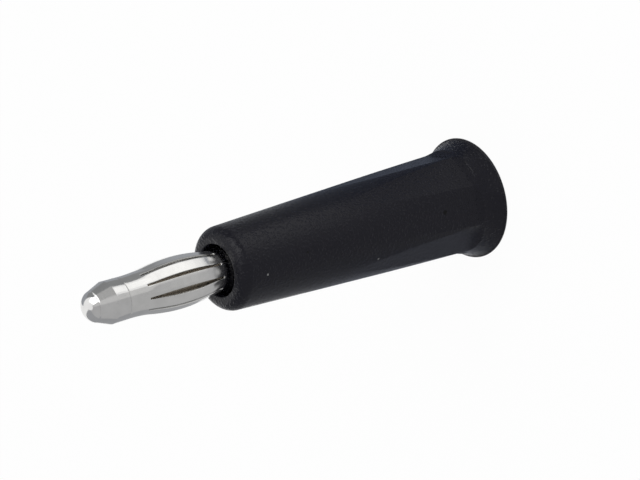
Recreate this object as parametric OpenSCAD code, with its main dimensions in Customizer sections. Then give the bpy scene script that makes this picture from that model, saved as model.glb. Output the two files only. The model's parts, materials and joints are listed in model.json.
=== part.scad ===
// Banana plug with a push-on insulating sleeve, a turned contact pin, a rolled lamella basket and a clamp screw.
// Millimetres. The plug stands on the rear face of its flange, with the pin pointing up along +Z.
// The origin is the centre of that face.

/* [Insulating sleeve] */
// Length of the sleeve, from the rear face of the flange to the front face
sleeve_len = 27.1; // [25:0.1:32]
// Diameter of the tapered body where it would reach the front face
front_d = 7.0; // [6.8:0.05:7.4]
// Diameter of the tapered body where it would reach the rear face
rear_d = 8.9; // [8.2:0.05:9.6]
// How far the flange stands out past the taper, on the radius
flange_out = 0.68; // [0.4:0.02:1.5]
// Thickness of the flange at its rim
flange_lip = 0.25; // [0.15:0.01:0.5]
// Height at which the flare of the flange runs out into the taper
flare_top = 2.6; // [2:0.1:4]
// Number of grip flats round the rear half of the taper
flats = 8; // [6:1:12]
// Depth of a flat under the taper, in its middle, where it begins
flat_depth = 0.32; // [0.1:0.01:0.34]
// Draft of the flats, which is less than the taper, so that they run out towards the front
flat_draft = 0.5; // [0:0.1:1]
// Direction of the middle of the first flat, seen from the tip, from +X
flat_angle = 33; // [0:1:45]
// Distance from the top of the flare down to the foot of the flats
flat_drop = 0.1; // [0.03:0.01:0.3]
// Radius of the cove that carries the foot of a flat out into the flare
flat_cove = 0.8; // [0.5:0.05:1.2]
// Radius of the rounded front edge
front_round = 1.0; // [0.3:0.05:1.1]
// Length of the narrow mouth, from the front face to the seat of the barrel
mouth_len = 3.1; // [2:0.1:4]
// Radius of the rounded mouth edge
mouth_round = 0.2; // [0.05:0.05:0.25]
// Diameter of the cable entry
entry_d = 6.0; // [5.6:0.1:6.8]
// Depth of the chamfer at the mouth of the cable entry
entry_chamfer = 0.5; // [0.2:0.1:0.8]
// Distance from the inner end of the cable entry to the barrel
entry_gap = 1.0; // [0.5:0.1:3]

/* [Contact pin] */
// Diameter of the straight part of the nose
nose_d = 3.52; // [3.4:0.02:3.8]
// Length of the straight part of the nose
nose_land = 1.15; // [0.5:0.05:3]
// Length of the nose's cone
cone_len = 1.5; // [0.8:0.1:3]
// Diameter of the small end of the cone, where the dome begins
cone_tip_d = 2.44; // [1.8:0.02:2.7]
// Radius of the domed tip
dome_r = 1.43; // [1.36:0.01:2.5]
// Diameter of the core that carries the basket
core_d = 2.9; // [2.4:0.05:3]
// Length of the collar behind the basket, from the barrel to the basket
collar_len = 1.85; // [1:0.05:4]
// Diameter of the terminal barrel
barrel_d = 5.3; // [5.1:0.05:5.4]
// Length of the terminal barrel
barrel_len = 13; // [11:0.5:16]
// Chamfer on the edges of the barrel
barrel_chamfer = 0.15; // [0.05:0.05:0.25]
// Diameter of the bore for the wire
wire_d = 2.2; // [1.6:0.1:2.3]
// Depth of the bore for the wire, without its drill point
wire_depth = 9; // [7.5:0.5:10.5]
// Angle of the drill point at the bottom of the bore for the wire
drill_angle = 118; // [90:1:140]

/* [Lamella basket] */
// Number of lamellae
lamellae = 10; // [6:1:12]
// Greatest diameter of the free basket
basket_d = 4.3; // [4.1:0.02:4.6]
// Length of each straight end ring
ring_len = 0.75; // [0.4:0.05:2]
// Thickness of the sheet that the basket is rolled from
sheet = 0.24; // [0.15:0.01:0.3]
// Length of the bulge, between the straight end rings
bulge_len = 9.8; // [8.6:0.1:12]
// Length of the bulge's outward arc, between its two inward ones
crown_len = 5.4; // [4:0.1:7]
// Length of the slots
slot_len = 7.7; // [6:0.1:8.5]
// Width of a slot at its ends, which is also the width of the seam
slot_end_w = 0.15; // [0.1:0.01:0.25]
// Direction of the first slot, seen from the tip, from +X
slot_angle = -4.5; // [-18:0.5:18]
// Number of the slot that the seam runs through
seam_slot = 3; // [0:1:5]

/* [Clamp screw] */
// Diameter of the grub screw
screw_d = 2.5; // [2:0.1:2.8]
// Length of the grub screw
screw_len = 2.0; // [1.6:0.1:2.2]
// Height of the screw's axis above the rear end of the barrel
screw_height = 4.5; // [3:0.1:6]
// Depth of the cross hole for the screw, past the middle of the bore for the wire
screw_reach = 0.7; // [0.3:0.1:1]
// Depth of the screw's edge under the barrel's skin
screw_sink = 0.1; // [0.05:0.05:0.3]
// Width of the driver slot
driver_w = 0.4; // [0.3:0.05:0.6]
// Depth of the driver slot
driver_depth = 0.6; // [0.3:0.05:0.9]
// Chamfer at both ends of the screw
screw_chamfer = 0.2; // [0.1:0.05:0.4]

/* [Fits] */
// Gap between the widest part of the basket and the mouth that passes over it, on the radius
mouth_fit = 0.1; // [0.05:0.01:0.2]
// Gap between the barrel and the sleeve's bore, on the radius
barrel_fit = 0.05; // [0.02:0.01:0.1]
// Gap between the basket's end rings and the core, on the radius
basket_fit = 0.05; // [0.02:0.01:0.1]
// Gap between the screw and its hole, on the radius
screw_fit = 0.05; // [0.02:0.01:0.1]
// Play of the basket along the core, which shows as a line behind the nose
end_play = 0.1; // [0.05:0.01:0.2]

/* [Hidden] */
$fn = 96;
// Length by which a cut runs past the surface that it opens
past = 1;
// Bands from the middle of the basket's bulge to its end
bulge_bands = 7;
// Straight stretches from the middle of a slot's side to its end
slot_steps = 4;
plastic = "#232328";
nickel = "#c8c6c0";

// Heights along the axis, from the rear face up
seat_z = sleeve_len - mouth_len;
barrel_z = seat_z - barrel_len;
entry_z = barrel_z - entry_gap;
basket_z = seat_z + collar_len;
basket_len = bulge_len + 2 * ring_len;
nose_z = basket_z + basket_len + end_play;
cone_z = nose_z + nose_land;
dome_z = cone_z + cone_len;

// Taper of the sleeve: the radius at a height, the half angle, and the normal that points outwards
function taper_r(z) = rear_d / 2 - z * (rear_d - front_d) / 2 / sleeve_len;
taper = atan((rear_d - front_d) / 2 / sleeve_len);
taper_normal = [cos(taper), sin(taper)];

// Centre of the rounded front edge, which touches the taper and the front face
front_z = sleeve_len - front_round;
front_centre = [taper_r(front_z) - front_round / cos(taper), front_z];
front_touch = front_centre + front_round * taper_normal;

// The flare is an arc that leaves the rim and touches the taper at its top
rim_r = flange_lip / 2;
rim_edge = [rear_d / 2 + flange_out - rim_r, flange_lip];
flare_touch = [taper_r(flare_top), flare_top];
flare_chord = flare_touch - rim_edge;
flare_r = -(flare_chord * flare_chord) / (2 * flare_chord * taper_normal);
flare_centre = flare_touch + flare_r * taper_normal;

// Where the flats begin: the height, and the distance of their middle from the axis
flat_z = flare_top - flat_drop;
flat_r = taper_r(flat_z) - flat_depth;

// Bores
mouth_r = basket_d / 2 + mouth_fit;
bore_r = barrel_d / 2 + barrel_fit;
entry_r = entry_d / 2;
screw_hole_r = screw_d / 2 + screw_fit;
drill_point = wire_d / 2 / tan(drill_angle / 2);

// The basket's end rings, and the two arcs of its bulge, which touch each other and the rings
ring_r = core_d / 2 + basket_fit + sheet;
bulge_rise = basket_d / 2 - ring_r;
bulge_slope = 2 * atan(bulge_rise / (bulge_len / 2));
crown_r = crown_len / 2 / sin(bulge_slope);
foot_r = (bulge_len - crown_len) / 2 / sin(bulge_slope);
bulge_z = basket_len / 2;

// The screw's outer face lies where its edge is just under the skin of the barrel
screw_z = barrel_z + screw_height;
screw_face = sqrt(pow(barrel_d / 2 - screw_sink, 2) - pow(screw_d / 2, 2));

// Half section of the sleeve's outside: the taper, its rounded front edge, and the flared flange
module sleeve_outline() {
    polygon([
        [0, 0],
        [taper_r(0), 0],
        front_touch,
        front_centre,
        [front_centre[0], sleeve_len],
        [0, sleeve_len]
    ]);
    translate(front_centre) circle(r = front_round);
    difference() {
        polygon([[0, 0], [rim_edge[0], 0], rim_edge, flare_touch, [0, flare_top]]);
        translate(flare_centre) circle(r = flare_r);
    }
    translate([rim_edge[0], rim_r]) circle(r = rim_r);
}

// Half section of the way through the sleeve: cable entry, bore for the barrel, seat and mouth
module sleeve_bore() {
    entry_cone = entry_r - bore_r;
    polygon([
        [0, -past],
        [entry_r + entry_chamfer + past, -past],
        [entry_r, entry_chamfer],
        [entry_r, entry_z - entry_cone],
        [bore_r, entry_z],
        [bore_r, seat_z],
        [0, seat_z]
    ]);
    square([mouth_r, sleeve_len + past]);
    difference() {
        translate([0, sleeve_len - mouth_round]) square([mouth_r + mouth_round, mouth_round + past]);
        translate([mouth_r + mouth_round, sleeve_len - mouth_round]) circle(r = mouth_round);
    }
}

// One grip flat, cut on +X, from the cove in the flare to where it runs out into the taper
module flat_cut() {
    translate([flat_r, rear_d / 2, flat_z]) rotate([90, 0, 0]) linear_extrude(rear_d) rotate(flat_draft) {
        square([2 * flat_cove, sleeve_len]);
        translate([flat_cove, 0]) circle(r = flat_cove);
    }
}

// Moulded sleeve, pushed over the contact from the front until its seat meets the barrel
module insulating_sleeve() {
    color(plastic)
    difference() {
        rotate_extrude() difference() {
            sleeve_outline();
            sleeve_bore();
        }
        for (flat = [0 : flats - 1]) rotate(flat_angle + flat * 360 / flats) flat_cut();
    }
}

// Half section of the pin: barrel, collar, core, nose with its cone, and the dome
module pin_outline() {
    barrel_r = barrel_d / 2;
    dome_rise = sqrt(pow(dome_r, 2) - pow(cone_tip_d / 2, 2));
    polygon([
        [0, barrel_z],
        [barrel_r - barrel_chamfer, barrel_z],
        [barrel_r, barrel_z + barrel_chamfer],
        [barrel_r, seat_z - barrel_chamfer],
        [barrel_r - barrel_chamfer, seat_z],
        [ring_r, seat_z],
        [ring_r, basket_z],
        [core_d / 2, basket_z],
        [core_d / 2, nose_z],
        [nose_d / 2, nose_z],
        [nose_d / 2, cone_z],
        [cone_tip_d / 2, dome_z],
        [0, dome_z]
    ]);
    translate([0, dome_z]) intersection() {
        translate([0, -dome_rise]) circle(r = dome_r);
        square([dome_r, dome_r]);
    }
}

// Turned pin with the bore for the wire and the cross hole for the clamp screw
module contact_pin() {
    color(nickel)
    difference() {
        rotate_extrude() pin_outline();
        translate([0, 0, barrel_z - past]) cylinder(h = wire_depth + past, d = wire_d);
        translate([0, 0, barrel_z + wire_depth]) cylinder(h = drill_point, d1 = wire_d, d2 = 0);
        translate([-screw_reach, 0, screw_z]) rotate([0, 90, 0])
            cylinder(h = screw_reach + barrel_d / 2 + past, r = screw_hole_r);
    }
}

// Radius of the basket's outer skin at a height above the middle of the bulge
function skin_r(h) =
    abs(h) >= bulge_len / 2 ? ring_r :
    abs(h) >= crown_len / 2 ? ring_r + foot_r - sqrt(pow(foot_r, 2) - pow(bulge_len / 2 - abs(h), 2)) :
    basket_d / 2 - crown_r + sqrt(pow(crown_r, 2) - pow(h, 2));

// Section of the basket's wall: up the outer skin, and down the inner one
module basket_section() {
    heights = [for (band = [-bulge_bands : bulge_bands]) band / bulge_bands * bulge_len / 2];
    outer = [for (h = heights) [skin_r(h), bulge_z + h]];
    inner = [for (h = heights) [skin_r(-h) - sheet, bulge_z - h]];
    polygon(concat(
        [[ring_r - sheet, 0], [ring_r, 0]],
        outer,
        [[ring_r, basket_len], [ring_r - sheet, basket_len]],
        inner
    ));
}

// One slot, cut outwards along +X: a lamella keeps its width as the sheet bulges, so the slot opens in the middle
module slot_cut() {
    heights = [for (step = [-slot_steps : slot_steps]) step / slot_steps * slot_len / 2];
    half_w = [for (h = heights) slot_end_w / 2 + PI * (skin_r(h) - skin_r(slot_len / 2)) / lamellae];
    last = len(heights) - 1;
    translate([0, 0, bulge_z]) rotate([90, 0, 90]) linear_extrude(basket_d) polygon(concat(
        [for (i = [0 : last]) [half_w[i], heights[i]]],
        [for (i = [last : -1 : 0]) [-half_w[i], heights[i]]]
    ));
}

// Spring basket, rolled from slotted sheet: end rings, bulged lamellae and the open seam
module lamella_basket() {
    pitch = 360 / lamellae;
    color(nickel)
    translate([0, 0, basket_z])
    difference() {
        rotate_extrude() basket_section();
        for (slot = [0 : lamellae - 1]) rotate(slot_angle + slot * pitch) slot_cut();
        rotate(slot_angle + seam_slot * pitch)
            translate([0, -slot_end_w / 2, -past]) cube([basket_d, slot_end_w, basket_len + 2 * past]);
    }
}

// Slotted grub screw across the barrel, on +X
module clamp_screw() {
    screw_r = screw_d / 2;
    color(nickel)
    translate([screw_face - screw_len, 0, screw_z])
    rotate([0, 90, 0])
    difference() {
        rotate_extrude() polygon([
            [0, 0],
            [screw_r - screw_chamfer, 0],
            [screw_r, screw_chamfer],
            [screw_r, screw_len - screw_chamfer],
            [screw_r - screw_chamfer, screw_len],
            [0, screw_len]
        ]);
        translate([-screw_d, -driver_w / 2, screw_len - driver_depth])
            cube([2 * screw_d, driver_w, driver_depth + past]);
    }
}

insulating_sleeve();
contact_pin();
lamella_basket();
clamp_screw();
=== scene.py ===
"""Dresses the packed banana plug.

Its pieces are a moulded sleeve, a turned and plated contact, a sprung lamella basket and a clamp screw.
Everything is in metres, in the frame of the packed part. The plug stands on its flange, with the pin
along +Z.
"""
import json
import math

import bpy
from bpy.props import FloatProperty, FloatVectorProperty, IntProperty, PointerProperty
from mathutils import Matrix, Vector


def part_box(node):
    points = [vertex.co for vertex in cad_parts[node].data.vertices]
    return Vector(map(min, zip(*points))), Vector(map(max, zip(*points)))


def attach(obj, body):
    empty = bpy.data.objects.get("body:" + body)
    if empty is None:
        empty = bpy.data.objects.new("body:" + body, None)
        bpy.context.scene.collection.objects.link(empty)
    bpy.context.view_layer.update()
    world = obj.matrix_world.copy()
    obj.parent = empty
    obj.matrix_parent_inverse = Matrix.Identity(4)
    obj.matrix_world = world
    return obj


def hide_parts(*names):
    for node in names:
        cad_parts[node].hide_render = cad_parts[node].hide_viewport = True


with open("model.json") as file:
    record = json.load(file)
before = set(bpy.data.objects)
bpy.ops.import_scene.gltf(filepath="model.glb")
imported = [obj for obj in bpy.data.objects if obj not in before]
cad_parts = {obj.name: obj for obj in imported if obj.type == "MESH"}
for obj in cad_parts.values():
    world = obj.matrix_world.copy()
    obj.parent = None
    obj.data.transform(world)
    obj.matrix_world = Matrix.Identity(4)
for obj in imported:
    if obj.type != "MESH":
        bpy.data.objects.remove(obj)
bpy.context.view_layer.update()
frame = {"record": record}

bl_info = {
    "name": "Banana Plug",
    "version": (1, 0, 0),
    "blender": (4, 5, 0),
    "location": "View3D > Sidebar > Banana Plug",
    "description": "Models and finishes a banana plug around its packed solids",
    "category": "Add Mesh",
}

MM = 0.001

# Boxes of the packed solids, which the sizes below start from
SLEEVE_LOW, SLEEVE_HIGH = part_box("insulating_sleeve")
PIN_LOW, PIN_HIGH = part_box("contact_pin")
BASKET_LOW, BASKET_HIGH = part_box("lamella_basket")
SCREW_LOW, SCREW_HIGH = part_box("clamp_screw")
SCREW_AXIS_Z = (SCREW_LOW.z + SCREW_HIGH.z) / 2
MOUNTS = {mount["name"]: mount for mount in frame["record"]["mounts"]}

# Vertices closer than this are one vertex
WELD = 1e-7
# Edges shorter than this are slivers
SLIVER = 2e-6
# Vertices of one row of the basket lie this close to its height
ROW_REACH = 1e-6
# Faces that meet at less than this angle shade as one surface
SMOOTH_ANGLE = math.radians(40)
# Edges of the basket's sheet that are sharper than this are rounded
ROUND_ANGLE = math.radians(50)

# Steps of a full turn: on the lathe, for the drill, the thread and the screw's blank
TURN_STEPS = 192
DRILL_STEPS = 64
THREAD_STEPS = 64
BLANK_STEPS = 90
# Steps along the parts of the outlines
RIM_STEPS = 8
FLARE_STEPS = 14
TAPER_STEPS = 24
FRONT_STEPS = 12
MOUTH_STEPS = 6
COVE_STEPS = 12
DOME_STEPS = 16

# Radius of the corners inside the sleeve
INSIDE_ROUND = 0.04 * MM
# Height of the drill's upper end from the axis, clear of the barrel
DRILL_TOP = 4 * MM
# The groove between cone and dome, in shares of its width: edge, depth, place of its bottom, rounding
GROOVE_EDGE = 0.36
GROOVE_DEPTH = 0.6
GROOVE_BOTTOM = 0.3
GROOVE_ROUND = 0.1

# The basket's mesh: rows along it, columns across a lamella, and closer rows over the bead
BASKET_ROWS = 48
LAMELLA_COLUMNS = 10
BEAD_ROW_STEP = 0.08 * MM
BEAD_ROWS = [0.25 * MM + BEAD_ROW_STEP * i for i in range(14)]
# The bead: its place past the end of the rear ring, and its width
BEAD_PLACE = 0.1 * MM
BEAD_WIDTH = 0.27 * MM
# A lamella's flat: columns from the middle of a slot to its edge, and the length over which it fades
FLAT_EDGE = 1.5
FLAT_FADE = 0.9 * MM
# How far each lamella leans to one side at its crown, in degrees, as the sheet was rolled
LAMELLA_LEAN = (0.4, -0.5, 0.3, 0.0, -0.6, 0.5, -1.0, 2.4, 0.3, -0.4)
# Rows that spread less than this share of the crown do not lean
LEAN_FROM = 0.01

# The thread, in shares of its pitch: corners of its crest, and spare length at both ends
THREAD_CREST = (0.42, 0.55, 0.97)
THREAD_SPARE = 0.6
# Turns of thread past each end, and the blank's radius as a share of the thread's
THREAD_RUN_OUT = 2
BLANK_SPARE = 1.01
# How far the screw may stand out of its hole
SCREW_PROUD = 0.01 * MM

# The plastic: level of its gloss, scale and depth of its grain
PLASTIC_GLOSS = 0.22
GRAIN_SCALE = 5000.0
GRAIN_DEPTH = 0.06 * MM
# Specks on the sleeve, each with its place in millimetres, its radius, and how light it is
SPECKS = (
    ((-1.46, -3.27, 24.7), 0.09, 0.2),
    ((-2.84, -2.89, 13.1), 0.12, 0.1),
    ((-0.69, -3.955, 5.88), 0.2, 0.0),
    ((-0.65, -3.74, 20.5), 0.12, 0.001),
)

# The plate: scale of its clouds, scale and depth of the turning marks under it
CLOUD_SCALE = 900.0
RING_SCALE = 7000.0
MARK_DEPTH = 0.004 * MM
# Roughness of each plate, and strength of its marks
PIN_FINISH = (0.11, 0.18)
SPRING_FINISH = (0.13, 0.05)
SCREW_FINISH = (0.25, 0.1)
# How much more the tool has marked the cone of the nose
CONE_MARKS = 24.0
# The bare core: its roughness, and its reach as a share of its radius
CORE_ROUGHNESS = 0.5
CORE_REACH = 1.02

# The studio: width of the floor, share of it that is plain white, and light of the surroundings
FLOOR_SIZE = 6.0
FLOOR_WHITE = 0.95
WORLD_LIGHT = (0.7, 0.7, 0.7, 1.0)
WHITE = (1.0, 1.0, 1.0, 1.0)
# The key light: direction from the camera's target, distance, size and brightness
KEY_DIRECTION = (0.63, -0.45, 0.64)
KEY_DISTANCE = 0.35
KEY_SIZE = (0.34, 0.34)
KEY_RADIANCE = 1.25
# The camera's sensor, and the nearest and furthest that it sees
SENSOR_WIDTH = 36.0
CLIP_START = 0.01
CLIP_END = 20.0

# Outlines of the glowing sheets that paint reflections of grey cards, as radius and height in millimetres
NEAR_CARD = ((5.2, 0.2), (26, 0.2))
FAR_CARD = ((34, 0.1), (110, 0.1))
WALL_CARD = ((120, 0.1), (150, 40), (150, 90))
LOW_CARD = ((6, 0.1), (110, 0.1), (150, 40), (150, 130))
TALL_CARD = ((6, 0.1), (110, 0.1), (150, 40), (150, 560))
# Glowing grey sheets round the plug, which only reflections see, as painted reflections of grey cards:
# outline, azimuths in degrees from -Y towards +X, and the grey
PAINTED_REFLECTIONS = (
    ("front_card", TALL_CARD, -100, -4, (0.47, 0.47, 0.475)),
    ("side_card", TALL_CARD, -158, -100, (0.36, 0.365, 0.38)),
    ("pale_card", TALL_CARD, -4, 24, (0.62, 0.62, 0.62)),
    # This sheet glows brighter than white: a painted highlight in the metal's reflections
    ("bright_card", FAR_CARD, 34, 66, (1.2, 1.2, 1.19)),
    ("wall_card", WALL_CARD, 24, 74, (0.45, 0.45, 0.45)),
    ("dark_card", LOW_CARD, 74, 126, (0.27, 0.275, 0.28)),
    ("back_card", LOW_CARD, 126, 166, (0.36, 0.375, 0.40)),
    ("near_front_card", NEAR_CARD, -70, 66, (0.48, 0.48, 0.49)),
    ("near_side_card", NEAR_CARD, -180, -70, (0.27, 0.285, 0.325)),
    ("near_back_card", NEAR_CARD, 66, 180, (0.13, 0.15, 0.195)),
)
CARD_STEPS = 24


# Properties


def length_prop(name, description, default):
    """A length in metres, as a user would change it."""
    return FloatProperty(
        name=name,
        description=description,
        default=default,
        min=0.0,
        unit="LENGTH",
        subtype="DISTANCE",
        precision=5,
    )


def angle_prop(name, description, degrees):
    """An angle, given in degrees."""
    return FloatProperty(
        name=name,
        description=description,
        default=math.radians(degrees),
        subtype="ANGLE",
    )


def colour_prop(name, description, default):
    """A linear colour."""
    return FloatVectorProperty(
        name=name,
        description=description,
        default=default,
        size=3,
        min=0.0,
        max=1.0,
        subtype="COLOR",
    )


class SleeveProps(bpy.types.PropertyGroup):
    """Sizes and colour of the moulded sleeve"""

    length: length_prop("Length", "From the rear face to the front face", SLEEVE_HIGH.z)
    flange_r: length_prop("Flange radius", "Radius of the flange's rim", min(-SLEEVE_LOW.x, SLEEVE_HIGH.x))
    rear_r: length_prop("Rear radius", "Radius of the taper at the rear face", 4.45 * MM)
    front_r: length_prop("Front radius", "Radius of the taper at the front face", 3.5 * MM)
    lip: length_prop("Lip", "Thickness of the flange at its rim", 0.25 * MM)
    flare_top: length_prop("Flare top", "Height at which the flare meets the taper", 2.6 * MM)
    flats: IntProperty(
        name="Flats", description="Number of grip flats round the taper", default=8, min=6, max=12
    )
    flat_depth: length_prop("Flat depth", "Depth of a flat under the taper, where it begins", 0.32 * MM)
    flat_drop: length_prop(
        "Flat drop", "Distance from the top of the flare down to the foot of the flats", 0.1 * MM
    )
    flat_cove: length_prop(
        "Flat cove", "Radius that carries the foot of a flat out into the flare", 0.8 * MM
    )
    flat_draft: angle_prop(
        "Flat draft", "Draft of the flats, which run out where the taper has come down to them", 0.5
    )
    flat_angle: angle_prop("Flat angle", "Direction of the first flat's middle from +X", 33)
    front_round: length_prop("Front round", "Radius of the front edge", 1.0 * MM)
    mouth_r: length_prop("Mouth radius", "Radius of the mouth round the pin", 2.2 * MM)
    mouth_round: length_prop("Mouth round", "Radius of the mouth's edge", 0.1 * MM)
    seat: length_prop("Seat height", "Height of the seat for the barrel", 24.0 * MM)
    bore_r: length_prop("Bore radius", "Radius of the bore round the barrel", 2.7 * MM)
    entry_r: length_prop(
        "Entry radius", "Radius of the cable entry", MOUNTS["cable_entry"]["dims"]["r_mm"] * MM
    )
    entry_top: length_prop("Entry top", "Height of the cable entry's inner end", 10.0 * MM)
    entry_chamfer: length_prop("Entry chamfer", "Chamfer of the cable entry", 0.5 * MM)
    colour: colour_prop("Colour", "Colour of the plastic", (0.0068, 0.0067, 0.0108))


class PinProps(bpy.types.PropertyGroup):
    """Sizes and colours of the turned contact pin"""

    nose_r: length_prop("Nose radius", "Radius of the nose's straight part", 1.76 * MM)
    nose_gap: length_prop("Nose gap", "Gap between the basket and the nose", 0.015 * MM)
    cone_length: length_prop("Cone length", "Length of the nose's cone", 1.5 * MM)
    cone_tip_r: length_prop("Cone tip radius", "Radius where the dome begins", 1.22 * MM)
    groove: length_prop("Groove", "Width of the tool's groove between cone and dome", 0.12 * MM)
    dome_r: length_prop("Dome radius", "Radius of the domed tip", 1.43 * MM)
    core_r: length_prop("Core radius", "Radius of the core inside the basket", 1.45 * MM)
    barrel_chamfer: length_prop("Barrel chamfer", "Chamfer on the barrel's edges", 0.15 * MM)
    wire_r: length_prop("Wire bore radius", "Radius of the bore for the wire", 1.1 * MM)
    wire_depth: length_prop("Wire bore depth", "Depth of the bore for the wire", 9.0 * MM)
    drill_point: length_prop("Drill point", "Depth of the bore's drill point", 0.66 * MM)
    screw_hole_r: length_prop("Cross hole radius", "Radius of the hole for the screw", 1.3 * MM)
    screw_reach: length_prop("Cross hole reach", "Reach of the hole past the axis", 0.7 * MM)
    edge_round: length_prop("Edge round", "Radius that plating leaves on an edge", 0.025 * MM)
    colour: colour_prop("Plating colour", "Colour of the nickel plate", (0.78, 0.775, 0.765))
    core_colour: colour_prop("Core colour", "Colour of the core inside the basket", (0.72, 0.66, 0.57))


class BasketProps(bpy.types.PropertyGroup):
    """Sizes and colour of the lamella basket"""

    lamellae: IntProperty(name="Lamellae", description="Number of lamellae", default=10, min=6, max=12)
    ring_r: length_prop("Ring radius", "Outer radius of the end rings", 1.74 * MM)
    crown_r: length_prop("Crown radius", "Greatest radius of the free basket", BASKET_HIGH.x)
    sheet: length_prop("Sheet", "Thickness of the sheet", 0.24 * MM)
    ring_length: length_prop("Ring length", "Length of each straight end ring", 0.75 * MM)
    bead: length_prop("Bead", "Height of the bead rolled into the rear ring", 0.12 * MM)
    crown_length: length_prop("Crown length", "Length of the bulge's outward arc", 5.4 * MM)
    slot_length: length_prop("Slot length", "Length of the slots", 7.7 * MM)
    slot_width: length_prop("Slot width", "Width of a slot at its ends", 0.15 * MM)
    slot_angle: angle_prop("Slot angle", "Direction of the first slot from +X", -4.5)
    seam_slot: IntProperty(
        name="Seam", description="Number of the slot that the seam runs through", default=3
    )
    edge_round: length_prop("Edge round", "Width of the rounded edge of the sheet", 0.03 * MM)
    colour: colour_prop("Plating colour", "Colour of the nickel plate", (0.81, 0.805, 0.79))


class ScrewProps(bpy.types.PropertyGroup):
    """Sizes and colour of the clamp screw"""

    radius: length_prop("Radius", "Outer radius of the thread", SCREW_HIGH.y)
    pitch: length_prop("Pitch", "Pitch of the thread", 0.45 * MM)
    thread_depth: length_prop("Thread depth", "Depth of the thread", 0.24 * MM)
    chamfer: length_prop("Chamfer", "Chamfer at both ends", 0.2 * MM)
    slot_width: length_prop("Slot width", "Width of the driver slot", 0.4 * MM)
    slot_depth: length_prop("Slot depth", "Depth of the driver slot", 0.6 * MM)
    colour: colour_prop("Plating colour", "Colour of the screw's plating", (0.62, 0.61, 0.58))


class StageProps(bpy.types.PropertyGroup):
    """Camera and floor of the studio"""

    distance: length_prop("Distance", "From the camera to its target", 400 * MM)
    target_height: length_prop("Target height", "Height of the camera's target", 16.16 * MM)
    target_side: length_prop(
        "Target side", "Place of the camera's target beside the plug's axis", 0.033 * MM
    )
    elevation: angle_prop("Elevation", "Height of the camera above the horizon", 37.4)
    roll: angle_prop(
        "Roll", "Turn of the camera about its line of sight, which lays the plug down in the picture", 106.3
    )
    lens: FloatProperty(
        name="Lens",
        description="Focal length of the camera",
        default=274.5,
        subtype="DISTANCE_CAMERA",
    )
    floor_colour: colour_prop("Floor", "Colour of the floor", (0.92, 0.92, 0.92))


PROP_GROUPS = {
    "plug_sleeve": SleeveProps,
    "plug_pin": PinProps,
    "plug_basket": BasketProps,
    "plug_screw": ScrewProps,
    "plug_stage": StageProps,
}


# Outlines, as points of radius and height


def arc(centre, radius, start, end, steps):
    """Points on an arc, from one angle to another, in degrees from the +radius direction."""
    angles = [math.radians(start + (end - start) * i / steps) for i in range(steps + 1)]
    return [(centre[0] + radius * math.cos(a), centre[1] + radius * math.sin(a)) for a in angles]


def rounded(outline, radius, steps=4):
    """The outline with an arc of that radius at each of its inner corners."""
    out = [outline[0]]
    for before, corner, after in zip(outline, outline[1:], outline[2:]):
        here = Vector(corner)
        back = (Vector(before) - here).normalized()
        ahead = (Vector(after) - here).normalized()
        half = back.angle(ahead) / 2
        reach = radius / math.tan(half)
        centre = here + (back + ahead).normalized() * radius / math.sin(half)
        start = here + back * reach - centre
        end = here + ahead * reach - centre
        turn = start.angle_signed(end)
        for i in range(steps + 1):
            out.append(tuple(centre + Matrix.Rotation(-turn * i / steps, 2) @ start))
    out.append(outline[-1])
    return out


# Modelling with operators


def activate(piece):
    """Makes this piece the only selected one, and the active one."""
    bpy.ops.object.select_all(action="DESELECT")
    piece.select_set(True)
    bpy.context.view_layer.objects.active = piece


def edit(piece):
    """Opens only this piece in edit mode, with nothing selected."""
    activate(piece)
    bpy.ops.object.mode_set(mode="EDIT")
    bpy.ops.mesh.select_mode(type="VERT")
    bpy.ops.mesh.select_all(action="DESELECT")


def close_edit():
    """Back to object mode."""
    bpy.ops.object.mode_set(mode="OBJECT")


def pick_vertices(piece, test):
    """Selects the vertices whose place passes the test, in edit mode."""
    bpy.ops.mesh.select_all(action="DESELECT")
    close_edit()
    for vertex in piece.data.vertices:
        vertex.select = test(vertex.co)
    bpy.ops.object.mode_set(mode="EDIT")


def pick_faces(piece, test):
    """Selects the faces whose centre passes the test, in edit mode. Returns how many there are."""
    bpy.ops.mesh.select_all(action="DESELECT")
    close_edit()
    for face in piece.data.polygons:
        face.select = test(face.center)
    found = sum(face.select for face in piece.data.polygons)
    bpy.ops.object.mode_set(mode="EDIT")
    return found


def turn_picked(angle, axis="Z"):
    """Turns what is selected anticlockwise about an axis of the frame. The tool itself counts clockwise."""
    bpy.ops.transform.rotate(value=-angle, orient_axis=axis, center_override=(0, 0, 0))


def apply_modifier(piece, kind, **settings):
    """Adds a modifier with these settings and applies it."""
    activate(piece)
    modifier = piece.modifiers.new(kind.title(), kind)
    for key, value in settings.items():
        setattr(modifier, key, value)
    bpy.ops.object.modifier_apply(modifier=modifier.name)


def machine(piece, tool, operation="DIFFERENCE"):
    """Cuts a piece with a tool, and puts the tool away."""
    apply_modifier(piece, "BOOLEAN", operation=operation, object=tool, solver="EXACT")
    bpy.data.objects.remove(tool)


def draw_chain(name, outline):
    """A new piece that is a chain of edges along an outline of radius and height, in the XZ plane."""
    bpy.ops.object.select_all(action="DESELECT")
    bpy.ops.mesh.primitive_plane_add(size=MM, location=(0, 0, 0))
    piece = bpy.context.object
    piece.name = name
    piece.data.name = name
    edit(piece)
    bpy.ops.mesh.select_all(action="SELECT")
    bpy.ops.mesh.merge(type="CENTER")
    bpy.ops.transform.translate(value=(outline[0][0], 0, outline[0][1]))
    for (r0, z0), (r1, z1) in zip(outline, outline[1:]):
        bpy.ops.mesh.extrude_vertices_move(TRANSFORM_OT_translate={"value": (r1 - r0, 0, z1 - z0)})
    return piece


def spin_chain(angle, steps):
    """Spins the open chain about +Z, clockwise from +X."""
    bpy.ops.mesh.select_all(action="SELECT")
    bpy.ops.mesh.spin(steps=steps, angle=angle, center=(0, 0, 0), axis=(0, 0, 1))


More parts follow.
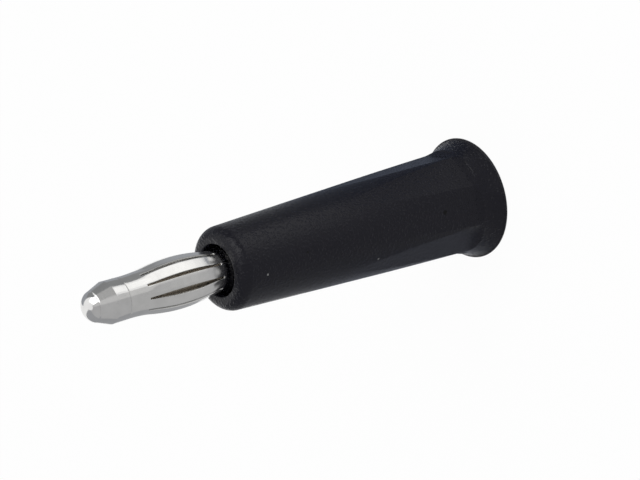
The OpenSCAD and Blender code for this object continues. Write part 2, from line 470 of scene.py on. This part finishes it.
def weld_and_face_out():
    """Merges what the lathe doubled, and turns all faces outwards, in edit mode."""
    bpy.ops.mesh.select_all(action="SELECT")
    bpy.ops.mesh.remove_doubles(threshold=WELD)
    bpy.ops.mesh.normals_make_consistent(inside=False)


def lathe(name, outline, steps=TURN_STEPS):
    """A new piece turned about +Z from an outline."""
    piece = draw_chain(name, outline)
    spin_chain(2 * math.pi, steps)
    weld_and_face_out()
    close_edit()
    return piece


def weld_slivers(piece):
    """Merges the slivers that cuts leave, and divides their many-sided faces into triangles."""
    edit(piece)
    bpy.ops.mesh.select_all(action="SELECT")
    bpy.ops.mesh.remove_doubles(threshold=SLIVER)
    bpy.ops.mesh.dissolve_degenerate(threshold=SLIVER)
    bpy.ops.mesh.select_all(action="SELECT")
    bpy.ops.mesh.quads_convert_to_tris(ngon_method="BEAUTY")
    close_edit()


def smooth(piece):
    """Smooth shading that keeps large faces true beside their rounded edges."""
    activate(piece)
    bpy.ops.object.shade_smooth_by_angle(angle=SMOOTH_ANGLE)
    apply_modifier(piece, "WEIGHTED_NORMAL", mode="FACE_AREA", keep_sharp=True)


def settle(piece, node, body, material):
    """Gives a finished piece its material and its body, and hides the CAD node that it stands in for."""
    if not piece.data.polygons:
        raise RuntimeError(f"{piece.name} has no faces left")
    piece.data.materials.clear()
    piece.data.materials.append(material)
    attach(piece, body)
    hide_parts(node)


# Shapes of the pieces


def sleeve_outline(p):
    """Closed outline of the sleeve, round its flange, taper and mouth, and back down the bore."""
    slope = (p.rear_r - p.front_r) / p.length
    tilt = math.atan(slope)
    normal = Vector((math.cos(tilt), math.sin(tilt)))
    rim_r = p.lip / 2
    rim_edge = Vector((p.flange_r - rim_r, p.lip))
    flare_touch = Vector((p.rear_r - slope * p.flare_top, p.flare_top))
    chord = flare_touch - rim_edge
    flare_r = -chord.length_squared / (2 * chord.dot(normal))
    flare_centre = flare_touch + flare_r * normal
    flare_start = math.degrees(math.atan2(*reversed(rim_edge - flare_centre)))
    flare_end = math.degrees(math.atan2(*reversed(flare_touch - flare_centre)))
    front_z = p.length - p.front_round
    front_r = p.rear_r - slope * front_z - p.front_round / math.cos(tilt)
    mouth_edge = (p.mouth_r + p.mouth_round, p.length - p.mouth_round)
    flare = arc(flare_centre, flare_r, flare_start % 360, flare_end % 360, FLARE_STEPS)
    front = arc((front_r, front_z), p.front_round, math.degrees(tilt), 90, FRONT_STEPS)
    low = Vector(flare[-1])
    high = Vector(front[0])
    taper = [tuple(low.lerp(high, i / TAPER_STEPS)) for i in range(1, TAPER_STEPS)]
    inside = rounded(
        [
            (p.mouth_r, p.length - p.mouth_round),
            (p.mouth_r, p.seat),
            (p.bore_r, p.seat),
            (p.bore_r, p.entry_top),
            (p.entry_r, p.entry_top - (p.entry_r - p.bore_r)),
            (p.entry_r, p.entry_chamfer),
            (p.entry_r + p.entry_chamfer, 0.0),
            (p.flange_r - rim_r, 0.0),
        ],
        INSIDE_ROUND,
    )
    return (
        arc((rim_edge.x, rim_r), rim_r, -90, 90, RIM_STEPS)
        + flare
        + taper
        + front
        + arc(mouth_edge, p.mouth_round, 90, 180, MOUTH_STEPS)
        + inside
    )


def grip_cutter(p):
    """A ring with a many-sided hole, which trims the taper to its grip flats."""
    foot = p.flare_top - p.flat_drop
    top = p.length + p.front_round
    middle = p.rear_r - (p.rear_r - p.front_r) * foot / p.length - p.flat_depth
    outer = 2 * p.flange_r
    section = [
        *arc((middle + p.flat_cove, foot), p.flat_cove, 180, 270, COVE_STEPS),
        (outer, foot - p.flat_cove),
        (outer, top),
        (middle - (top - foot) * math.tan(p.flat_draft), top),
        (middle, foot),
    ]
    corner = 1 / math.cos(math.pi / p.flats)
    cutter = lathe("grip_cutter", [(distance * corner, height) for distance, height in section], p.flats)
    edit(cutter)
    bpy.ops.mesh.select_all(action="SELECT")
    turn_picked(p.flat_angle + math.pi / p.flats)
    close_edit()
    return cutter


def dome_height(pin):
    """Height of the dome above the end of the cone."""
    return pin.dome_r - math.sqrt(pin.dome_r**2 - pin.cone_tip_r**2)


def pin_outline(pin, basket, seat):
    """Outline of the pin, from the wire bore round the barrel, collar, core and nose to the tip."""
    bottom = PIN_LOW.z
    barrel_r = PIN_HIGH.x
    cone_z = PIN_HIGH.z - dome_height(pin) - pin.cone_length
    nose_z = BASKET_HIGH.z + pin.nose_gap
    dome_z = cone_z + pin.cone_length
    corners = [
        (0.0, bottom + pin.wire_depth + pin.drill_point),
        (pin.wire_r, bottom + pin.wire_depth),
        (pin.wire_r, bottom),
        (barrel_r - pin.barrel_chamfer, bottom),
        (barrel_r, bottom + pin.barrel_chamfer),
        (barrel_r, seat - pin.barrel_chamfer),
        (barrel_r - pin.barrel_chamfer, seat),
        (basket.ring_r, seat),
        (basket.ring_r, BASKET_LOW.z),
        (pin.core_r, BASKET_LOW.z),
        (pin.core_r, nose_z),
        (pin.nose_r, nose_z),
        (pin.nose_r, cone_z),
        (pin.cone_tip_r + pin.groove * GROOVE_EDGE, dome_z - pin.groove),
    ]
    dome_centre = (0.0, PIN_HIGH.z - pin.dome_r)
    dome_start = math.degrees(math.acos(pin.cone_tip_r / pin.dome_r))
    dome = arc(dome_centre, pin.dome_r, dome_start, 90, DOME_STEPS)
    groove = [
        *corners[-2:],
        (pin.cone_tip_r - pin.groove * GROOVE_DEPTH, dome_z - pin.groove * GROOVE_BOTTOM),
        (pin.cone_tip_r, dome_z),
        dome[1],
    ]
    body = rounded(corners, pin.edge_round)[:-1]
    return body + rounded(groove, pin.groove * GROOVE_ROUND)[1:-1] + dome[1:]


def skin_radius(p, h):
    """Outer radius of the basket at a height from the middle of its bulge."""
    half = (BASKET_HIGH.z - BASKET_LOW.z) / 2 - p.ring_length
    slope = math.sin(2 * math.atan((p.crown_r - p.ring_r) / half))
    crown = p.crown_length / 2
    crown_arc = crown / slope
    foot_arc = (half - crown) / slope
    bead = p.bead * math.exp(-(((h + half - BEAD_PLACE) / BEAD_WIDTH) ** 2))
    h = abs(h)
    if h >= half:
        return p.ring_r + bead
    if h >= crown:
        return p.ring_r + foot_arc - math.sqrt(foot_arc**2 - (half - h) ** 2) + bead
    return p.crown_r - crown_arc + math.sqrt(crown_arc**2 - h**2)


def basket_heights(half):
    """Heights of the basket's rows from its middle, closer together over the bead."""
    even = [half * (2 * i / BASKET_ROWS - 1) for i in range(BASKET_ROWS + 1)]
    low = BEAD_ROWS[0] - BEAD_ROW_STEP / 2
    high = BEAD_ROWS[-1] + BEAD_ROW_STEP / 2
    kept = [h for h in even if not low <= h + half <= high]
    return sorted(kept + [-half + h for h in BEAD_ROWS])


def open_slots(piece, p, h, middle, from_slot, column, slotted):
    """Turns one row of the basket's edges to the slots' width, and its lamellae to their lean."""
    r = skin_radius(p, h)
    spread = max(0.0, r - skin_radius(p, p.slot_length / 2))
    edge = (p.slot_width / 2 + math.pi * spread / p.lamellae) / r
    pitch = 2 * math.pi / p.lamellae

    def in_row(place):
        return abs(place.z - middle - h) < ROW_REACH

    for side in (-1, 1):

        def on_edge(place):
            angle, number = from_slot(place)
            return abs(angle - side * column) < column / 4 and (slotted or number == p.seam_slot)

        pick_vertices(piece, lambda place: in_row(place) and on_edge(place))
        turn_picked(side * (edge - column))
    lean_share = spread / (p.crown_r - p.ring_r)
    if lean_share < LEAN_FROM:
        return
    for number in range(p.lamellae):
        lean = math.radians(LAMELLA_LEAN[number % len(LAMELLA_LEAN)]) * lean_share
        if not lean:
            continue
        start = p.slot_angle + number * pitch

        def on_lamella(place):
            return (math.atan2(place.y, place.x) - start) % (2 * math.pi) < pitch

        pick_vertices(piece, lambda place: in_row(place) and on_lamella(place))
        turn_picked(lean)


def cut_thread(p, length):
    """A new piece that is a rod of thread along +Z, a little longer than the screw."""
    root = p.radius - p.thread_depth
    rise, fall, foot = (share * p.pitch for share in THREAD_CREST)
    crest = [(root, 0.0), (p.radius, rise), (p.radius, fall), (root, foot), (root, p.pitch)]
    piece = draw_chain("clamp_thread", crest)
    bpy.ops.mesh.select_all(action="SELECT")
    bpy.ops.transform.translate(value=(0, 0, -THREAD_RUN_OUT * p.pitch))
    close_edit()
    apply_modifier(
        piece,
        "SCREW",
        screw_offset=p.pitch,
        iterations=math.ceil(length / p.pitch) + 2 * THREAD_RUN_OUT,
        steps=THREAD_STEPS,
        render_steps=THREAD_STEPS,
        use_merge_vertices=False,
    )
    edit(piece)
    weld_and_face_out()
    spare = THREAD_SPARE * p.pitch
    for height, side in ((-spare, -1), (length + spare, 1)):
        bpy.ops.mesh.select_all(action="SELECT")
        bpy.ops.mesh.bisect(
            plane_co=(0, 0, height),
            plane_no=(0, 0, side),
            use_fill=True,
            clear_outer=True,
            threshold=WELD,
        )
    weld_and_face_out()
    close_edit()
    return piece


def screw_blank(p, length):
    """The chamfered rod that the thread is trimmed to."""
    outline = [
        (0.0, 0.0),
        (p.radius - p.chamfer, 0.0),
        (p.radius * BLANK_SPARE, p.chamfer),
        (p.radius * BLANK_SPARE, length - p.chamfer),
        (p.radius - p.chamfer, length),
        (0.0, length),
    ]
    return lathe("screw_blank", outline, BLANK_STEPS)


def driver_saw(p, length):
    """The block that saws the driver slot."""
    bpy.ops.object.select_all(action="DESELECT")
    bpy.ops.mesh.primitive_cube_add(size=1.0, location=(0, 0, 0))
    saw = bpy.context.object
    saw.name = "driver_saw"
    edit(saw)
    bpy.ops.mesh.select_all(action="SELECT")
    bpy.ops.transform.resize(value=(p.slot_width, 4 * p.radius, 2 * p.slot_depth))
    bpy.ops.transform.translate(value=(0, 0, length))
    close_edit()
    return saw


# Materials


def new_group(name, inputs, outputs):
    """A shader node group with these sockets. Returns the tree, its input node and its output node."""
    tree = bpy.data.node_groups.new(name, "ShaderNodeTree")
    for label, kind, default in inputs:
        socket = tree.interface.new_socket(label, in_out="INPUT", socket_type=kind)
        socket.default_value = default
    for label, kind in outputs:
        tree.interface.new_socket(label, in_out="OUTPUT", socket_type=kind)
    return tree, tree.nodes.new("NodeGroupInput"), tree.nodes.new("NodeGroupOutput")


def add(tree, kind, **settings):
    """A new node, with its settings."""
    node = tree.nodes.new(kind)
    for key, value in settings.items():
        setattr(node, key, value)
    return node


def math_node(tree, operation, first, second):
    """A maths node whose inputs are sockets or numbers. Returns its output."""
    node = add(tree, "ShaderNodeMath", operation=operation)
    for socket, value in zip(node.inputs, (first, second)):
        if isinstance(value, (int, float)):
            socket.default_value = value
        else:
            tree.links.new(value, socket)
    return node.outputs[0]


def between(tree, value, low, high):
    """A mask that is 1 where a value lies between two numbers."""
    above = math_node(tree, "GREATER_THAN", value, low)
    return math_node(tree, "MULTIPLY", above, math_node(tree, "LESS_THAN", value, high))


def ramp(tree, factor, stops):
    """A colour ramp over a factor, with grey or colour stops."""
    node = add(tree, "ShaderNodeValToRGB")
    elements = node.color_ramp.elements
    while len(elements) < len(stops):
        elements.new(0.5)
    for element, (position, value) in zip(elements, stops):
        element.position = position
        element.color = (*value, 1.0) if isinstance(value, tuple) else (value, value, value, 1.0)
    tree.links.new(factor, node.inputs["Fac"])
    return node.outputs["Color"]


def overlay(tree, mask, under, colour):
    """A colour socket, with a fixed colour over it where the mask is 1."""
    node = add(tree, "ShaderNodeMix", data_type="RGBA")
    tree.links.new(mask, node.inputs["Factor"])
    tree.links.new(under, node.inputs["A"])
    node.inputs["B"].default_value = colour
    return node.outputs["Result"]


def noise(tree, vector, scale, detail, roughness):
    """Noise over a vector, at the scale of a socket. Returns the factor's output."""
    node = add(tree, "ShaderNodeTexNoise")
    node.inputs["Detail"].default_value = detail
    node.inputs["Roughness"].default_value = roughness
    tree.links.new(scale, node.inputs["Scale"])
    tree.links.new(vector, node.inputs["Vector"])
    return node.outputs["Fac"]


def mapped(tree, scale):
    """Object coordinates stretched by a scale. Returns the vector's output."""
    coords = add(tree, "ShaderNodeTexCoord")
    mapping = add(tree, "ShaderNodeMapping")
    mapping.inputs["Scale"].default_value = scale
    tree.links.new(coords.outputs["Object"], mapping.inputs["Vector"])
    return mapping.outputs["Vector"]


def moulded_grain():
    """Fine pebbled grain of a spark-eroded mould."""
    tree, start, end = new_group(
        "Moulded grain",
        [("Scale", "NodeSocketFloat", GRAIN_SCALE)],
        [("Height", "NodeSocketFloat"), ("Shine", "NodeSocketFloat")],
    )
    vector = mapped(tree, (1, 1, 1))
    scale = start.outputs["Scale"]
    fine = noise(tree, vector, scale, 3.0, 0.6)
    coarse = noise(tree, vector, math_node(tree, "MULTIPLY", scale, 0.5), 1.0, 0.5)
    pebbles = ramp(tree, noise(tree, vector, scale, 0.0, 0.5), [(0.56, 0.0), (0.72, 1.0)])
    height = math_node(tree, "MULTIPLY", fine, 0.6)
    height = math_node(tree, "ADD", height, math_node(tree, "MULTIPLY", coarse, 0.15))
    height = math_node(tree, "ADD", height, math_node(tree, "MULTIPLY", pebbles, 0.3))
    tree.links.new(height, end.inputs["Height"])
    tree.links.new(fine, end.inputs["Shine"])
    return tree


def turning_marks():
    """Fine rings that a lathe tool leaves round the axis, a little uneven."""
    tree, start, end = new_group(
        "Turning marks",
        [("Rings", "NodeSocketFloat", RING_SCALE)],
        [("Height", "NodeSocketFloat"), ("Band", "NodeSocketFloat")],
    )
    rings = mapped(tree, (0.02, 0.02, 1.0))
    fine = noise(tree, rings, start.outputs["Rings"], 3.0, 0.7)
    band_scale = math_node(tree, "MULTIPLY", start.outputs["Rings"], 0.22)
    band = noise(tree, rings, band_scale, 2.0, 0.5)
    tree.links.new(fine, end.inputs["Height"])
    tree.links.new(band, end.inputs["Band"])
    return tree


def plate_bloom():
    """Soft clouding of a nickel plate."""
    tree, start, end = new_group(
        "Plate bloom",
        [("Scale", "NodeSocketFloat", CLOUD_SCALE), ("Colour", "NodeSocketColor", (0.7, 0.7, 0.7, 1.0))],
        [("Colour", "NodeSocketColor")],
    )
    cloud = noise(tree, mapped(tree, (1, 1, 1)), start.outputs["Scale"], 4.0, 0.6)
    shade = ramp(tree, cloud, [(0.3, 0.9), (0.7, 1.0)])
    mix = add(tree, "ShaderNodeMix", data_type="RGBA", blend_type="MULTIPLY")
    mix.inputs["Factor"].default_value = 1.0
    tree.links.new(start.outputs["Colour"], mix.inputs["A"])
    tree.links.new(shade, mix.inputs["B"])
    tree.links.new(mix.outputs["Result"], end.inputs["Colour"])
    return tree


def shared(name, build):
    """A shared node group, which its first user builds."""
    return bpy.data.node_groups.get(name) or build()


def new_material(name):
    """A material with a Principled shader. Returns the material, its tree and the shader."""
    material = bpy.data.materials.new(name)
    material.use_nodes = True
    tree = material.node_tree
    return material, tree, tree.nodes["Principled BSDF"]


def place(tree, group, **values):
    """Puts a shared group into a material with its own values."""
    node = add(tree, "ShaderNodeGroup")
    node.node_tree = group
    for label, value in values.items():
        node.inputs[label].default_value = value
    return node


def bump(tree, shader, height, strength, distance):
    """A bump of that height under the shader's normal. Returns its node."""
    node = add(tree, "ShaderNodeBump")
    node.inputs["Strength"].default_value = strength
    node.inputs["Distance"].default_value = distance
    tree.links.new(height, node.inputs["Height"])
    tree.links.new(node.outputs["Normal"], shader.inputs["Normal"])
    return node


def sleeve_plastic(p):
    """Black moulded plastic with a fine grain and a few specks."""
    material, tree, shader = new_material("sleeve_plastic")
    shader.inputs["Specular IOR Level"].default_value = PLASTIC_GLOSS
    grain = place(tree, shared("Moulded grain", moulded_grain))
    shine = grain.outputs["Shine"]
    low = tuple(c * 0.9 for c in p.colour)
    high = tuple(c * 1.1 for c in p.colour)
    colour = ramp(tree, shine, [(0.3, low), (0.7, high)])
    coords = add(tree, "ShaderNodeTexCoord")
    for spot, radius, light in SPECKS:
        gap = add(tree, "ShaderNodeVectorMath", operation="DISTANCE")
        tree.links.new(coords.outputs["Object"], gap.inputs[0])
        gap.inputs[1].default_value = Vector(spot) * MM
        speck = math_node(tree, "LESS_THAN", gap.outputs["Value"], radius * MM)
        colour = overlay(tree, speck, colour, (light, light, light, 1.0))
    tree.links.new(colour, shader.inputs["Base Color"])
    roughness = ramp(tree, shine, [(0.35, 0.14), (0.65, 0.2)])
    tree.links.new(roughness, shader.inputs["Roughness"])
    bump(tree, shader, grain.outputs["Height"], 1.0, GRAIN_DEPTH)
    return material


def nickel(name, colour, finish):
    """Nickel plate over turned or rolled metal. Returns the material and its bump node."""
    rough, mark_strength = finish
    material, tree, shader = new_material(name)
    shader.inputs["Metallic"].default_value = 1.0
    bloom = place(tree, shared("Plate bloom", plate_bloom), Colour=(*colour, 1.0))
    tree.links.new(bloom.outputs["Colour"], shader.inputs["Base Color"])
    marks = place(tree, shared("Turning marks", turning_marks))
    roughness = ramp(tree, marks.outputs["Band"], [(0.3, rough * 0.75), (0.7, rough * 1.3)])
    tree.links.new(roughness, shader.inputs["Roughness"])
    relief = bump(tree, shader, marks.outputs["Height"], mark_strength, MARK_DEPTH)
    return material, relief


def pin_metal(pin):
    """The pin's plate, with a brown core where the basket kept the bath out, and a coarser cone."""
    material, relief = nickel("plated_brass", pin.colour, PIN_FINISH)
    tree = material.node_tree
    shader = tree.nodes["Principled BSDF"]
    coords = add(tree, "ShaderNodeTexCoord")
    parts = add(tree, "ShaderNodeSeparateXYZ")
    tree.links.new(coords.outputs["Object"], parts.inputs[0])
    x, y, z = parts.outputs
    square = math_node(tree, "ADD", math_node(tree, "MULTIPLY", x, x), math_node(tree, "MULTIPLY", y, y))
    inside = math_node(tree, "LESS_THAN", square, (pin.core_r * CORE_REACH) ** 2)
    core = math_node(tree, "MULTIPLY", inside, between(tree, z, BASKET_LOW.z, BASKET_HIGH.z))
    plated = shader.inputs["Base Color"].links[0].from_socket
    colour = overlay(tree, core, plated, (*pin.core_colour, 1.0))
    tree.links.new(colour, shader.inputs["Base Color"])
    polish = shader.inputs["Roughness"].links[0].from_socket
    dull = add(tree, "ShaderNodeMix")
    tree.links.new(core, dull.inputs["Factor"])
    tree.links.new(polish, dull.inputs["A"])
    dull.inputs["B"].default_value = CORE_ROUGHNESS
    tree.links.new(dull.outputs["Result"], shader.inputs["Roughness"])
    cone_high = PIN_HIGH.z - dome_height(pin) - pin.groove
    cone = between(tree, z, cone_high - pin.cone_length, cone_high)
    gain = math_node(tree, "ADD", math_node(tree, "MULTIPLY", cone, CONE_MARKS), 1.0)
    marks = relief.inputs["Height"].links[0].from_socket
    tree.links.new(math_node(tree, "MULTIPLY", marks, gain), relief.inputs["Height"])
    return material


# Studio


def bare_material(name):
    """A material with nothing but its output. Returns the material, its tree and the output's socket."""
    material = bpy.data.materials.new(name)
    material.use_nodes = True
    tree = material.node_tree
    tree.nodes.clear()
    out = add(tree, "ShaderNodeOutputMaterial")
    return material, tree, out.inputs["Surface"]


def background_rays(tree):
    """A mask of the rays that see the background white: from the camera, mirrored and let through."""
    path = add(tree, "ShaderNodeLightPath")
    seen = math_node(tree, "MAXIMUM", path.outputs["Is Camera Ray"], path.outputs["Is Glossy Ray"])
    return math_node(tree, "MAXIMUM", seen, path.outputs["Is Transmission Ray"])


def floor_material(p):
    """A floor that looks white, also in reflections, and keeps a faint shadow."""
    material, tree, surface = bare_material("floor_paper")
    paper = add(tree, "ShaderNodeBsdfDiffuse")
    paper.inputs["Color"].default_value = (*p.floor_colour, 1.0)
    white = add(tree, "ShaderNodeEmission")
    white.inputs["Color"].default_value = WHITE
    bright = add(tree, "ShaderNodeMixShader")
    tree.links.new(math_node(tree, "MULTIPLY", background_rays(tree), FLOOR_WHITE), bright.inputs["Fac"])
    tree.links.new(paper.outputs[0], bright.inputs[1])
    tree.links.new(white.outputs[0], bright.inputs[2])
    tree.links.new(bright.outputs[0], surface)
    return material


def painted_reflection_sheet(name, outline, start, end, grey):
    """A glowing grey sheet round part of the plug, which only reflections see: a painted reflection that
    stands in for a photographer's card.
    """
    card = draw_chain(name, [(r * MM, z * MM) for r, z in outline])
    spin_chain(math.radians(end - start), CARD_STEPS)
    close_edit()
    # The chain lies along +X, which is at 90 degrees of azimuth, and the spin goes back from it
    card.rotation_euler.z = math.radians(end - 90)
    material, tree, surface = bare_material(name)
    # The sheet glows rather than being lit by the lamp: the painted reflection of a card
    sheet = add(tree, "ShaderNodeEmission")
    sheet.inputs["Color"].default_value = (*grey, 1.0)
    tree.links.new(sheet.outputs[0], surface)
    card.data.materials.append(material)
    card.visible_camera = False
    card.visible_diffuse = False
    card.visible_transmission = False
    card.visible_shadow = False


def studio_world(scene):
    """Even surroundings that look white, also in reflections."""
    world = bpy.data.worlds.new("studio")
    scene.world = world
    world.use_nodes = True
    tree = world.node_tree
    mix = add(tree, "ShaderNodeMix", data_type="RGBA")
    mix.inputs["A"].default_value = WORLD_LIGHT
    mix.inputs["B"].default_value = WHITE
    tree.links.new(background_rays(tree), mix.inputs["Factor"])
    tree.links.new(mix.outputs["Result"], tree.nodes["Background"].inputs["Color"])


def key_light(target):
    """A soft lamp aimed at the camera's target, left out of the camera's sight."""
    aim = Vector(KEY_DIRECTION).normalized()
    width, height = KEY_SIZE
    bpy.ops.object.light_add(type="AREA")
    lamp = bpy.context.object
    lamp.name = "key_light"
    lamp.data.name = "key_light"
    lamp.data.shape = "RECTANGLE"
    lamp.data.size = width
    lamp.data.size_y = height
    lamp.data.energy = KEY_RADIANCE * math.pi * width * height
    facing = aim.to_track_quat("Z", "Y").to_matrix().to_4x4()
    lamp.matrix_world = Matrix.Translation(target + aim * KEY_DISTANCE) @ facing
    lamp.visible_camera = False


def photo_camera(p, target):
    """A camera at the photograph's viewing angle. Returns it."""
    bpy.ops.object.camera_add()
    camera = bpy.context.object
    back = Vector((0, -math.cos(p.elevation), math.sin(p.elevation)))
    right = Vector((1, 0, 0))
    up = back.cross(right)
    turned_right = right * math.cos(p.roll) - up * math.sin(p.roll)
    turned_up = right * math.sin(p.roll) + up * math.cos(p.roll)
    rows = Matrix((turned_right, turned_up, back)).transposed()
    camera.matrix_world = Matrix.Translation(target + back * p.distance) @ rows.to_4x4()
    camera.data.lens = p.lens
    camera.data.sensor_width = SENSOR_WIDTH
    camera.data.clip_start = CLIP_START
    camera.data.clip_end = CLIP_END
    return camera


# Operators


class PLUG_OT_sleeve(bpy.types.Operator):
    """Turn the moulded sleeve from its outline, and trim it to its grip flats"""

    bl_idname = "plug.sleeve"
    bl_label = "Insulating Sleeve"

    def execute(self, context):
        p = context.scene.plug_sleeve
        piece = lathe("sleeve_moulding", sleeve_outline(p))
        machine(piece, grip_cutter(p))
        smooth(piece)
        settle(piece, "insulating_sleeve", "sleeve", sleeve_plastic(p))
        return {"FINISHED"}


class PLUG_OT_contact(bpy.types.Operator):
    """Turn the contact pin, and drill the cross hole for the screw"""

    bl_idname = "plug.contact"
    bl_label = "Contact Pin"

    def execute(self, context):
        scene = context.scene
        p = scene.plug_pin
        piece = lathe("contact_turning", pin_outline(p, scene.plug_basket, scene.plug_sleeve.seat))
        drill = lathe(
            "cross_drill",
            [
                (0.0, -p.screw_reach),
                (p.screw_hole_r, -p.screw_reach),
                (p.screw_hole_r, DRILL_TOP),
                (0.0, DRILL_TOP),
            ],
            DRILL_STEPS,
        )
        drill.data.transform(Matrix.Rotation(math.radians(90), 4, "Y"))
        drill.data.transform(Matrix.Translation((0, 0, SCREW_AXIS_Z)))
        machine(piece, drill)
        smooth(piece)
        settle(piece, "contact_pin", "contact", pin_metal(p))
        return {"FINISHED"}


class PLUG_OT_basket(bpy.types.Operator):
    """Roll the lamella basket, open its slots and its seam, flatten the lamellae and thicken the sheet"""

    bl_idname = "plug.basket"
    bl_label = "Lamella Basket"

    def execute(self, context):
        p = context.scene.plug_basket
        middle = (BASKET_LOW.z + BASKET_HIGH.z) / 2
        half = (BASKET_HIGH.z - BASKET_LOW.z) / 2
        slot_half = p.slot_length / 2
        pitch = 2 * math.pi / p.lamellae
        column = pitch / LAMELLA_COLUMNS
        heights = basket_heights(half)
        outline = [(skin_radius(p, h), middle + h) for h in heights]
        piece = lathe("basket_springs", outline, p.lamellae * LAMELLA_COLUMNS)
        edit(piece)
        bpy.ops.mesh.select_all(action="SELECT")
        turn_picked(p.slot_angle)

        def from_slot(place):
            """Angle from the nearest slot's middle, and that slot's number."""
            turn = math.atan2(place.y, place.x) - p.slot_angle
            number = round(turn / pitch)
            return turn - number * pitch, number % p.lamellae

        def in_slot(place):
            angle, number = from_slot(place)
            if abs(angle) > column:
                return False
            return abs(place.z - middle) < slot_half or number == p.seam_slot

        if not pick_faces(piece, in_slot):
            raise RuntimeError("the basket has no faces where its slots should be")
        bpy.ops.mesh.delete(type="FACE")
        close_edit()
        flat = piece.vertex_groups.new(name="flat")
        flat_cos = math.cos(pitch / 2 - column * FLAT_EDGE)
        for vertex in piece.data.vertices:
            angle = pitch / 2 - abs(from_slot(vertex.co)[0])
            fade = min(1.0, max(0.0, (slot_half - abs(vertex.co.z - middle)) / FLAT_FADE))
            weight = fade * max(0.0, 1 - flat_cos / math.cos(angle)) / (1 - flat_cos)
            flat.add([vertex.index], weight, "REPLACE")
        edit(piece)
        for h in heights:
            slotted = abs(h) < slot_half + half / BASKET_ROWS
            open_slots(piece, p, h, middle, from_slot, column, slotted)
        close_edit()
        apply_modifier(
            piece,
            "DISPLACE",
            strength=-p.crown_r * (1 - flat_cos),
            mid_level=0.0,
            direction="NORMAL",
            vertex_group="flat",
        )
        apply_modifier(piece, "SOLIDIFY", thickness=p.sheet, offset=-1.0)
        apply_modifier(
            piece,
            "BEVEL",
            width=p.edge_round,
            segments=2,
            limit_method="ANGLE",
            angle_limit=ROUND_ANGLE,
        )
        piece.vertex_groups.clear()
        smooth(piece)
        material, _ = nickel("plated_spring", p.colour, SPRING_FINISH)
        settle(piece, "lamella_basket", "basket", material)
        return {"FINISHED"}


class PLUG_OT_screw(bpy.types.Operator):
    """Cut the clamp screw's thread, chamfer its ends and saw its driver slot"""

    bl_idname = "plug.screw"
    bl_label = "Clamp Screw"

    def execute(self, context):
        p = context.scene.plug_screw
        length = SCREW_HIGH.x - SCREW_LOW.x
        piece = cut_thread(p, length)
        machine(piece, screw_blank(p, length), "INTERSECT")
        machine(piece, driver_saw(p, length))
        weld_slivers(piece)
        edit(piece)
        bpy.ops.mesh.select_all(action="SELECT")
        turn_picked(math.pi / 2, "Y")
        bpy.ops.transform.translate(value=(SCREW_LOW.x, 0, SCREW_AXIS_Z))
        close_edit()
        if max(v.co.x for v in piece.data.vertices) > SCREW_HIGH.x + SCREW_PROUD:
            raise RuntimeError("the clamp screw lies outside its hole")
        smooth(piece)
        material, _ = nickel("plated_screw", p.colour, SCREW_FINISH)
        settle(piece, "clamp_screw", "screw", material)
        return {"FINISHED"}


class PLUG_OT_stage(bpy.types.Operator):
    """Lay the floor, set the glowing sheets that paint reflections of cards, and the light, and aim the
    camera
    """

    bl_idname = "plug.stage"
    bl_label = "Studio"

    def execute(self, context):
        p = context.scene.plug_stage
        scene = context.scene
        bpy.ops.object.select_all(action="DESELECT")
        bpy.ops.mesh.primitive_plane_add(size=FLOOR_SIZE, location=(0, 0, 0))
        floor = context.object
        floor.name = "floor"
        floor.data.materials.append(floor_material(p))
        # Glowing sheets that only reflections see: painted reflections of grey cards
        for card in PAINTED_REFLECTIONS:
            painted_reflection_sheet(*card)
        target = Vector((p.target_side, 0, p.target_height))
        scene.camera = photo_camera(p, target)
        studio_world(scene)
        key_light(target)
        scene.view_settings.view_transform = "Standard"
        return {"FINISHED"}


class PLUG_PT_panel(bpy.types.Panel):
    """Lists the plug's pieces and sizes"""

    bl_label = "Banana Plug"
    bl_idname = "PLUG_PT_panel"
    bl_space_type = "VIEW_3D"
    bl_region_type = "UI"
    bl_category = "Banana Plug"

    def draw(self, context):
        for operator in OPERATORS:
            self.layout.operator(operator.bl_idname)
        for name, group in PROP_GROUPS.items():
            box = self.layout.box()
            box.label(text=group.__doc__)
            for prop in group.__annotations__:
                box.prop(getattr(context.scene, name), prop)


OPERATORS = (PLUG_OT_sleeve, PLUG_OT_contact, PLUG_OT_basket, PLUG_OT_screw, PLUG_OT_stage)


def register():
    for group in PROP_GROUPS.values():
        bpy.utils.register_class(group)
    for name, group in PROP_GROUPS.items():
        setattr(bpy.types.Scene, name, PointerProperty(type=group))
    for operator in OPERATORS:
        bpy.utils.register_class(operator)
    bpy.utils.register_class(PLUG_PT_panel)


def unregister():
    bpy.utils.unregister_class(PLUG_PT_panel)
    for operator in reversed(OPERATORS):
        bpy.utils.unregister_class(operator)
    for name, group in PROP_GROUPS.items():
        delattr(bpy.types.Scene, name)
        bpy.utils.unregister_class(group)


def main():
    """Makes every piece and the stage."""
    register()
    bpy.ops.plug.sleeve()
    bpy.ops.plug.contact()
    bpy.ops.plug.basket()
    bpy.ops.plug.screw()
    bpy.ops.plug.stage()


if __name__ == "__main__":
    main()
